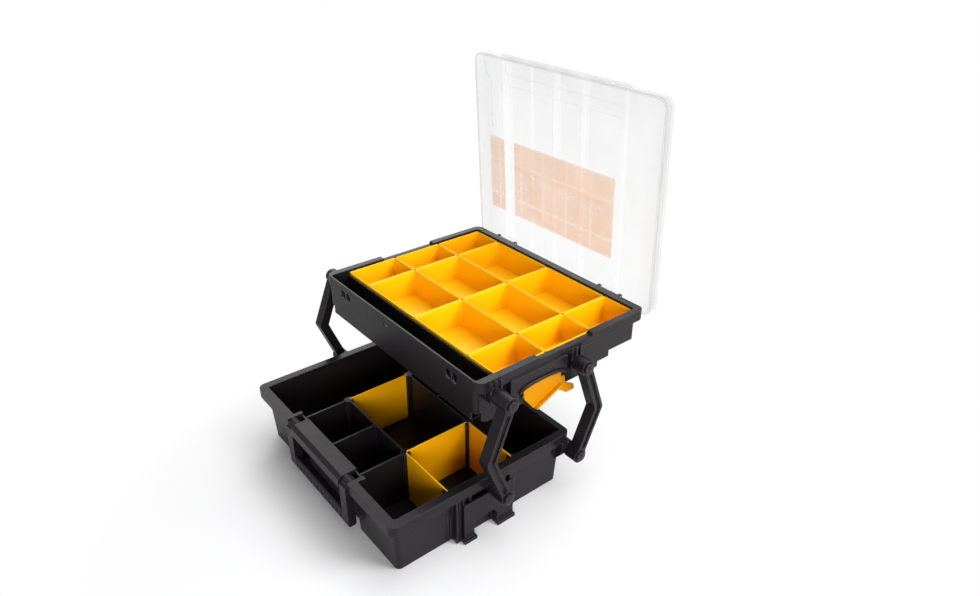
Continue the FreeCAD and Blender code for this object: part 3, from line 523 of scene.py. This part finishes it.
def rounded_path(low, high, radius, z):
    """Points and outward directions once round a rounded rectangle: a quarter circle at each corner."""
    points = []
    outward = []
    for quarter in range(4):
        angles = np.radians(90.0 * quarter + np.linspace(0.0, 90.0, CORNER_STEPS))
        corner = np.array([high[0] - radius if quarter in (0, 3) else low[0] + radius,
                           high[1] - radius if quarter in (0, 1) else low[1] + radius, z])
        turn = np.stack([np.cos(angles), np.sin(angles), np.zeros(CORNER_STEPS)], axis=1)
        points.append(corner + radius * turn)
        outward.append(turn)
    return np.concatenate(points), np.concatenate(outward)


def roll(points, outward, up, radius):
    """Grid of a roll along a path: circles in the plane of outward and up, of one radius or one a point."""
    around = np.linspace(0.0, 2.0 * math.pi, ROLL_STEPS, endpoint=False)[:, None]
    outward, up = (np.broadcast_to(axis, points.shape)[:, None, :] for axis in (outward, up))
    radius = np.broadcast_to(radius, len(points))[:, None, None]
    return points[:, None, :] + radius * (outward * np.cos(around) + up * np.sin(around))


def tipped_roll(points, outward, up, radius):
    """Grid of a roll along an open path, with a half ball at each end.

    Over a ball, the path goes on by the sine of an angle, and the radius thins by its cosine.
    """
    angles = np.radians(np.linspace(90.0, 0.0, TIP_STEPS, endpoint=False))
    first = points[0] - points[1]
    last = points[-1] - points[-2]
    past = radius * np.sin(angles)[:, None]
    start = points[0] + past * first / np.linalg.norm(first)
    end = points[-1] + past[::-1] * last / np.linalg.norm(last)
    thin = np.concatenate([np.cos(angles), np.ones(len(points)), np.cos(angles)[::-1]])
    outward, up = (np.pad(np.broadcast_to(axis, points.shape), ((TIP_STEPS, TIP_STEPS), (0, 0)), mode="edge")
                   for axis in (outward, up))
    return roll(np.concatenate([start, points, end]), outward, up, radius * thin)


def turned(profile, centre, side):
    """Grid of a profile of (radius, height) pairs turned about an axis along X, standing up to one side."""
    around = np.linspace(0.0, 2.0 * math.pi, TURN_STEPS, endpoint=False)
    wheel = np.stack([np.zeros(TURN_STEPS), np.cos(around), side * np.sin(around)], axis=1)
    return centre + profile[:, 0, None, None] * wheel + profile[:, 1, None, None] * side * SIDEWAYS


def cup_lips():
    """Rolled lip round the mouth of each lift-out cup: a circle swept along the cup's rounded outline."""
    radius = CUP_WALL / 2
    for name in nodes_named("bin_"):
        low, high = corners(name)
        rim_z = high[2] - CUP_LIP_SINK
        points, outward = rounded_path(low + radius, high - radius, CUP_CORNER - radius, rim_z)
        detail_piece("lip_" + name, roll(points, outward, UP, radius), True, "yellow_plastic", name)


def pivot_caps():
    """Shallow dome with a ring groove on each pivot pin's head: a profile turned about the pin."""
    bodies = {"lower_front_pins": "base", "lower_rear_pins": "base",
              "upper_front_pins": "upper_case", "upper_rear_pins": "upper_case"}
    profile = np.array(CAP_PROFILE) * MM
    for name, body in bodies.items():
        low, high = corners(name)
        for side, word in SIDES:
            centre = (low + high) / 2
            centre[0] = high[0] if side > 0 else low[0]
            dome = turned(profile, centre, side)
            detail_piece("cap_%s_%s" % (name, word), dome, False, "pin_plastic", body)


def divider_lips():
    """Rounded top edge on each lift-out divider: a roll as thick as the plate along its top."""
    for name in nodes_named("divider_"):
        low, high = corners(name)
        size = high - low
        long_axis = 0 if size[0] > size[1] else 1
        radius = size[1 - long_axis] / 2
        start = (low + high) / 2
        start[2] = high[2] - radius * DIVIDER_LIP_SINK
        end = start.copy()
        start[long_axis] = low[long_axis] + radius + DIVIDER_LIP_INSET
        end[long_axis] = high[long_axis] - radius - DIVIDER_LIP_INSET
        points = start + np.linspace(0.0, 1.0, DIVIDER_LIP_STEPS)[:, None] * (end - start)
        across = np.eye(3)[1 - long_axis]
        detail_piece("lip_" + name, tipped_roll(points, across, UP, radius), False, "yellow_plastic", name)


def hood_rolls():
    """Rolled lower edge of each latch hood: an arch z = rise (1 - u^2) - fall u^8, u = -1 to 1 along it."""
    u = np.linspace(-1.0, 1.0, HOOD_ROLL_STEPS)
    for side, word in SIDES:
        hook_end = corners("latch_" + word)[1][1]
        axis_z = joint_place("latch_%s_hinge" % word)[2]
        y = hook_end + (HOOD_ROLL_FRONT + HOOD_ROLL_REAR) / 2 + u * (HOOD_ROLL_REAR - HOOD_ROLL_FRONT) / 2
        z = axis_z + HOOD_ROLL_LIFT + HOOD_ROLL_RISE * (1 - u ** 2) - HOOD_ROLL_FALL * u ** 8
        points = np.stack([np.full_like(u, side * HOOD_FACE), y, z], axis=1)
        slope = np.gradient(points, axis=0)
        upward = np.cross(slope / np.linalg.norm(slope, axis=1)[:, None], SIDEWAYS)
        detail_piece("hood_roll_" + word, tipped_roll(points, SIDEWAYS, upward, HOOD_ROLL_RADIUS), False,
                     "black_plastic", "upper_case")


def rim_rails():
    """Rail in each lowered side rim: a superellipse |x|^p + |z|^p = 1 carried along Y.

    At the distance v from -1 to 1 along the rail, the section is drawn in by (1 - |v|^q)^(1/q).
    """
    low, high = corners("upper_tray")
    half = np.array([RAIL_OUTER - RAIL_INNER, RAIL_END - RAIL_START, RAIL_BOTTOM_DROP - RAIL_TOP_DROP]) / 2
    u = np.linspace(0.0, 2.0 * math.pi, RAIL_SECTION_STEPS, endpoint=False)
    section = np.stack([np.cos(u), np.sin(u)], axis=1)
    section = np.sign(section) * np.abs(section) ** (2.0 / RAIL_SQUARENESS)
    v = np.sin(np.linspace(-math.pi / 2, math.pi / 2, RAIL_LENGTH_STEPS))[:, None]
    drawn_in = (1.0 - np.abs(v) ** RAIL_END_SQUARENESS) ** (1.0 / RAIL_END_SQUARENESS)
    middle_y = low[1] + TRAY_HALF_DEPTH + (RAIL_START + RAIL_END) / 2
    middle_z = high[2] - (RAIL_TOP_DROP + RAIL_BOTTOM_DROP) / 2
    for side, word in SIDES:
        x = side * (RAIL_INNER + RAIL_OUTER) / 2 + half[0] * drawn_in * section[:, 0]
        y = middle_y + half[1] * np.broadcast_to(v, x.shape)
        z = middle_z + half[2] * drawn_in * section[:, 1]
        detail_piece("rim_rail_" + word, np.stack([x, y, z], axis=-1), False, "black_plastic", "upper_case")


def hub_sleeves():
    """Ribbed sleeve on each hub of the handle: radius + rise (1 - cos 2 pi n t) / 2, t along the hinge."""
    half = HANDLE_ARM_WIDTH / 2 - SLEEVE_MARGIN
    t = np.linspace(0.0, 1.0, SLEEVE_STEPS_PER_RIB * SLEEVE_RIBS + 1)
    ribs = HANDLE_HUB_RADIUS + SLEEVE_RISE * (1 - np.cos(2 * math.pi * SLEEVE_RIBS * t)) / 2
    inside = HANDLE_HUB_RADIUS - SLEEVE_DEPTH
    ribbed = np.stack([ribs, (2 * t - 1) * half], axis=1)
    profile = np.concatenate([ribbed, [(inside, half), (inside, -half)]])
    handle_side = corners("carry_handle")[1][0]
    for side, word in SIDES:
        centre = joint_place("handle_swing")
        centre[0] = side * (handle_side - HANDLE_ARM_WIDTH / 2)
        detail_piece("hub_sleeve_" + word, turned(profile, centre, side), True, "black_plastic", "handle")


def cover_bead():
    """Bead round the cover's open rim: a circle swept along the rounded outline of the leaning cover."""
    points, outward = rounded_path((-COVER_HALF_WIDTH, -COVER_BEHIND_AXIS), (COVER_HALF_WIDTH, COVER_REACH),
                                   COVER_CORNER, COVER_BEAD_HEIGHT)
    lean = math.radians(COVER_OPEN_ANGLE)
    stand = np.array([[1.0, 0.0, 0.0],
                      [0.0, -math.cos(lean), math.sin(lean)],
                      [0.0, math.sin(lean), math.cos(lean)]])
    points = joint_place("cover_hinge") + points @ stand.T
    grid = roll(points, outward @ stand.T, stand @ UP, COVER_BEAD_RADIUS)
    detail_piece("cover_bead", grid, True, "clear_plastic", "cover")


def stage_floor():
    """White floor: lit and shadowed near the case, fading to plain white away from it for the viewer."""
    reach = FLOOR_HALF_SIZE
    floor = bpy.data.meshes.new("floor")
    floor.from_pydata([(-reach, -reach, 0), (reach, -reach, 0), (reach, reach, 0), (-reach, reach, 0)], [],
                      [(0, 1, 2, 3)])
    piece = bpy.data.objects.new("floor", floor)
    piece.location.z = -FLOOR_DROP
    bpy.context.scene.collection.objects.link(piece)
    f = Finish("floor_white")
    f.shader.inputs["Roughness"].default_value = 0.8
    f.shader.inputs["Specular IOR Level"].default_value = 0.1
    path = f.add("ShaderNodeLightPath")
    seen = f.math("MAXIMUM", path.outputs["Is Camera Ray"], path.outputs["Is Transmission Ray"])
    seen_or_mirrored = f.math("MAXIMUM", seen, path.outputs["Is Glossy Ray"])
    f.link(f.blend(seen_or_mirrored, FLOOR_REFLECTING, FLOOR_SEEN), f.shader.inputs["Base Color"])
    away = f.add("ShaderNodeVectorMath", operation="DISTANCE")
    away.inputs[1].default_value = FLOOR_CENTRE
    f.link(f.place, away.inputs[0])
    fade = f.spread(away.outputs["Value"], FLOOR_SHADOW_REACH, FLOOR_WHITE_REACH)
    white = f.add("ShaderNodeEmission")
    white.inputs["Strength"].default_value = 1.0
    f.link(f.layered(f.math("MULTIPLY", seen, fade), f.shader.outputs[0], white.outputs[0]), f.output)
    floor.materials.append(f.material)


def stage_world():
    """White background for the viewer and in reflections, and a low even light on the case."""
    world = bpy.data.worlds.new("studio")
    world.use_nodes = True
    bpy.context.scene.world = world
    studio = Nodes(world.node_tree)
    path = studio.add("ShaderNodeLightPath")
    seen = studio.math("MAXIMUM", path.outputs["Is Camera Ray"], path.outputs["Is Transmission Ray"])
    mirrored = studio.math("MULTIPLY", path.outputs["Is Glossy Ray"], WORLD_IN_GLOSS)
    white = studio.math("MAXIMUM", seen, mirrored)
    sky = world.node_tree.nodes["Background"]
    sky.inputs["Color"].default_value = (1.0, 1.0, 1.0, 1.0)
    studio.link(studio.spread(white, 0.0, 1.0, WORLD_LIGHT, 1.0), sky.inputs["Strength"])


def stage_lamps():
    """Soft boxes, each turned from its place to its aim."""
    for name, place, aim, width, height, power in LAMPS:
        lamp = bpy.data.lights.new(name, "AREA")
        lamp.shape = "RECTANGLE"
        lamp.size = width
        lamp.size_y = height
        lamp.energy = power
        holder = bpy.data.objects.new(name, lamp)
        holder.location = place
        holder.rotation_mode = "QUATERNION"
        holder.rotation_quaternion = (Vector(aim) - Vector(place)).to_track_quat("-Z", "Y")
        bpy.context.scene.collection.objects.link(holder)


def stage_camera():
    """Camera at the photographed angle: turned by azimuth and elevation, then rolled about its own view."""
    data = bpy.data.cameras.new("catalogue_view")
    data.sensor_fit = "HORIZONTAL"
    data.sensor_width = CAMERA_SENSOR
    data.lens = CAMERA_LENS
    data.shift_x = CAMERA_SHIFT
    data.clip_start = CAMERA_NEAR
    data.clip_end = CAMERA_FAR
    holder = bpy.data.objects.new("catalogue_view", data)
    azimuth = math.radians(CAMERA_AZIMUTH)
    elevation = math.radians(CAMERA_ELEVATION)
    forward = Vector((-math.sin(azimuth) * math.cos(elevation), math.cos(azimuth) * math.cos(elevation),
                      -math.sin(elevation)))
    turn = forward.to_track_quat("-Z", "Y").to_matrix().to_4x4()
    tilt = Matrix.Rotation(math.radians(CAMERA_ROLL), 4, "Z")
    holder.matrix_world = Matrix.Translation(CAMERA_PLACE) @ turn @ tilt
    bpy.context.scene.collection.objects.link(holder)
    bpy.context.scene.camera = holder


dress_nodes()
cup_lips()
pivot_caps()
divider_lips()
hood_rolls()
rim_rails()
hub_sleeves()
cover_bead()
stage_floor()
stage_world()
stage_lamps()
stage_camera()
bpy.context.scene.view_settings.view_transform = "Standard"
